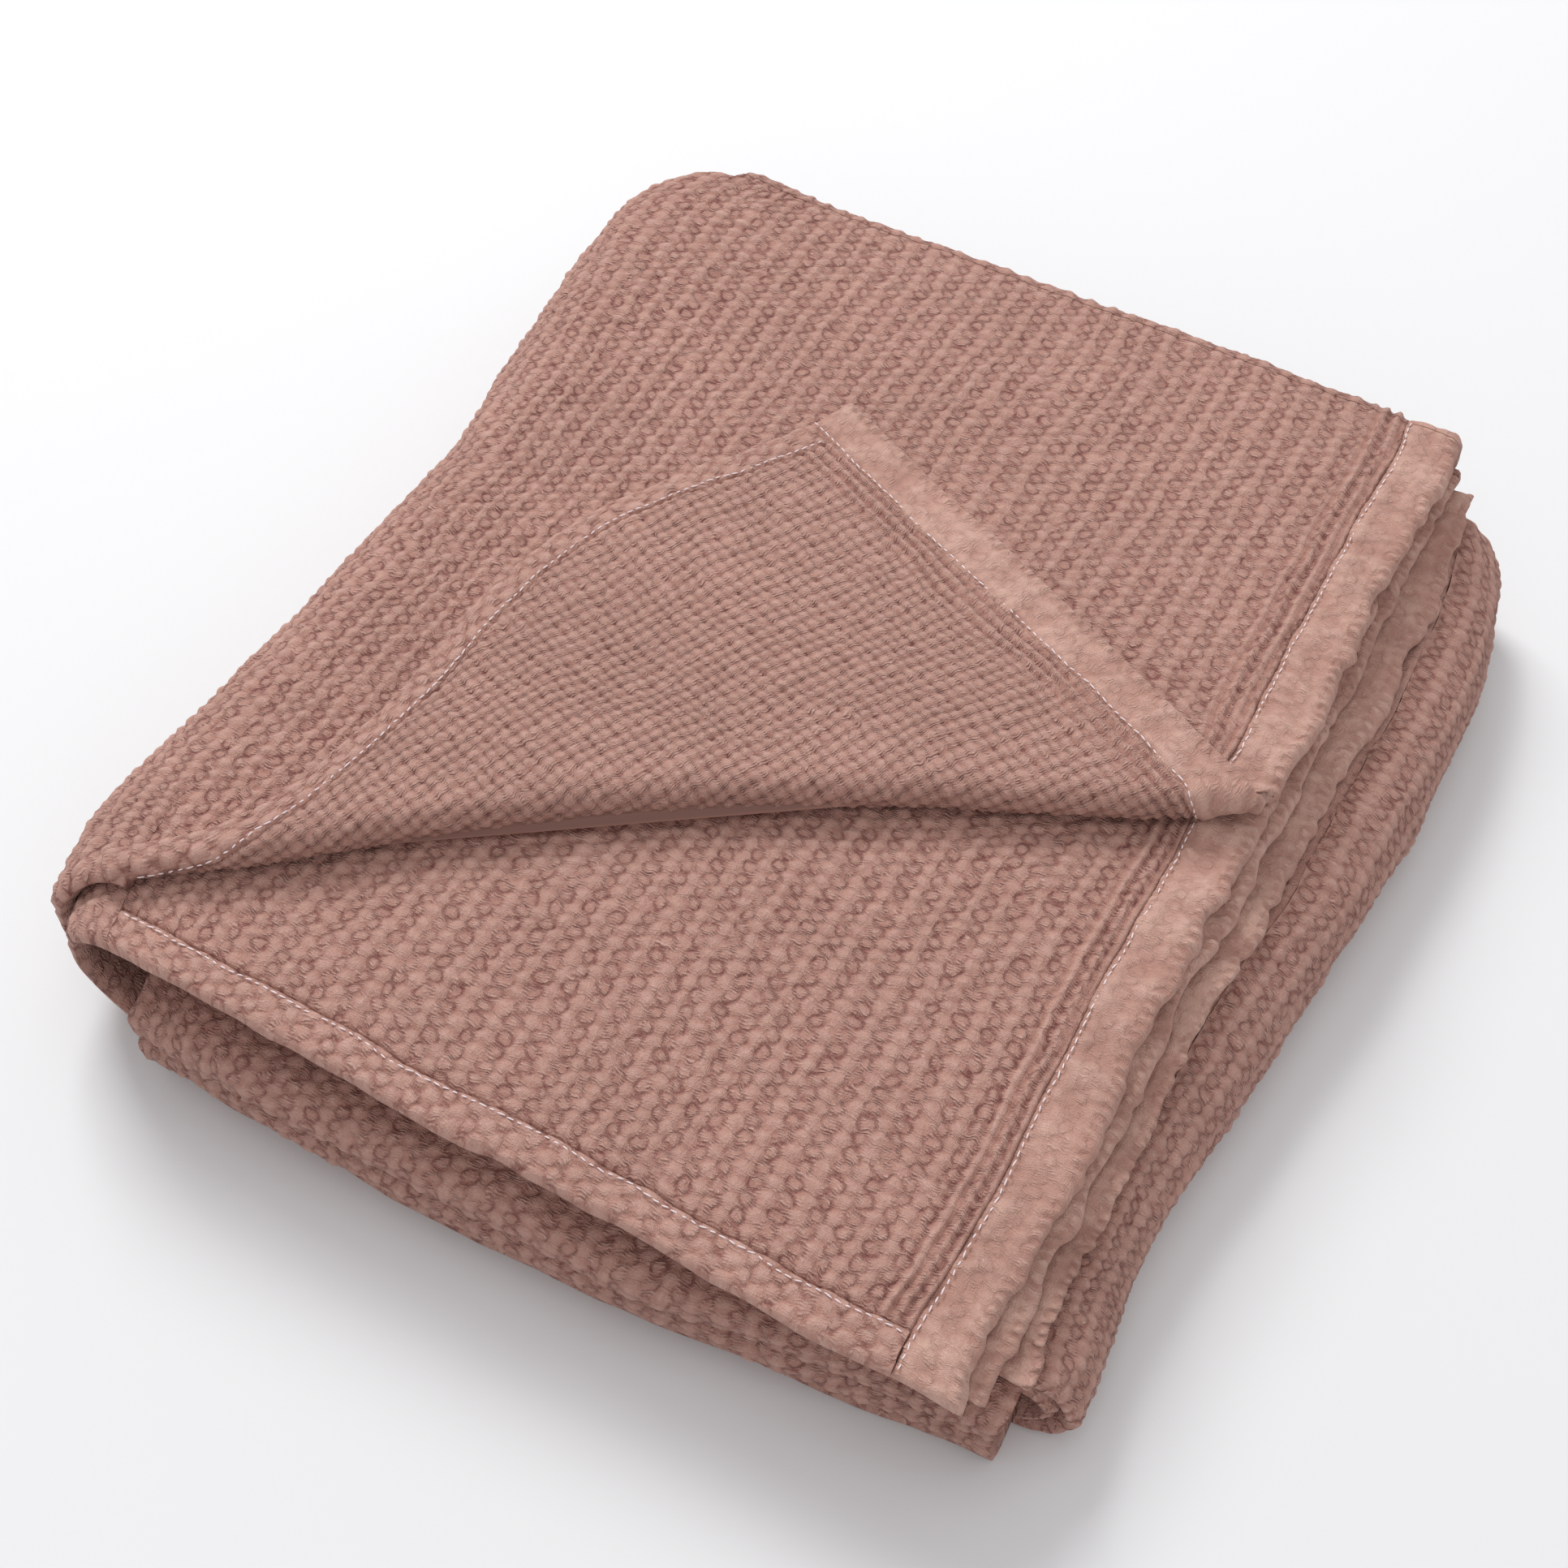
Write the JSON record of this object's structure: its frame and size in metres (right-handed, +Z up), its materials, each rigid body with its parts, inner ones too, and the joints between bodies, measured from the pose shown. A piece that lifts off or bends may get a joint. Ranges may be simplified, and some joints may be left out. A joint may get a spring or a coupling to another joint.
{
  "type": "folded throw blanket",
  "caption": "Folded throw blanket of puffy double-woven cotton with wide end hems and narrow side hems, one front corner turned back over the top leaf.",
  "frame": {"origin": "middle of the flat bottom of the folded pack", "axes": "+Z up; +Y to the back, along the longer side of the pack, away from the open hemmed edges at the front; +X to the right, towards the wide end hems"},
  "size_m": [0.443, 0.482, 0.0986],
  "materials": {
    "rose_cloth": "washed puffy double-woven cotton, matt",
    "rose_cloth_reverse": "reverse side of the same cloth, with a square grid of pits",
    "end_hem_cloth": "cloth turned over and stitched flat, a little paler",
    "side_hem_cloth": "narrow turned hem with soft bubbles",
    "stitch_thread": "pale polyester sewing thread, slight sheen"
  },
  "bodies": {
    "stack": {"base_leaf": "rose_cloth", "lining_leaf": "rose_cloth", "lower_doubled_leaf": "rose_cloth", "upper_doubled_leaf": "rose_cloth", "fourth_leaf": "rose_cloth", "fourth_leaf_end_hem": "end_hem_cloth", "fourth_leaf_end_seam": "stitch_thread", "third_leaf": "rose_cloth", "third_leaf_end_hem": "end_hem_cloth", "third_leaf_end_seam": "stitch_thread", "third_leaf_side_hem": "side_hem_cloth", "third_leaf_side_seam": "stitch_thread", "second_leaf": "rose_cloth", "second_leaf_end_hem": "end_hem_cloth", "second_leaf_end_seam": "stitch_thread", "second_leaf_side_hem": "side_hem_cloth", "second_leaf_side_seam": "stitch_thread", "top_leaf": "rose_cloth", "top_leaf_end_hem": "end_hem_cloth", "top_leaf_end_seam": "stitch_thread", "corner_crease": "rose_cloth", "outer_left_wrap": "rose_cloth", "inner_left_wrap": "rose_cloth", "inner_left_fold": "rose_cloth", "outer_right_fold": "rose_cloth", "inner_right_fold": "rose_cloth", "upper_back_fold": "rose_cloth", "middle_back_fold": "rose_cloth", "lower_back_fold": "rose_cloth"},
    "corner_flap": {"turned_corner": "rose_cloth_reverse", "turned_corner_end_hem": "end_hem_cloth", "turned_corner_end_seam": "stitch_thread", "turned_corner_side_hem": "side_hem_cloth", "turned_corner_side_seam": "stitch_thread"}
  },
  "joints": [
    {"name": "corner_turn", "type": "hinge", "parent": "stack", "child": "corner_flap", "pos_m": [-0.1757, -0.199, 0.0898], "axis": [0.8387, 0.5446, 0], "range_deg": [0, 180]}
  ]
}
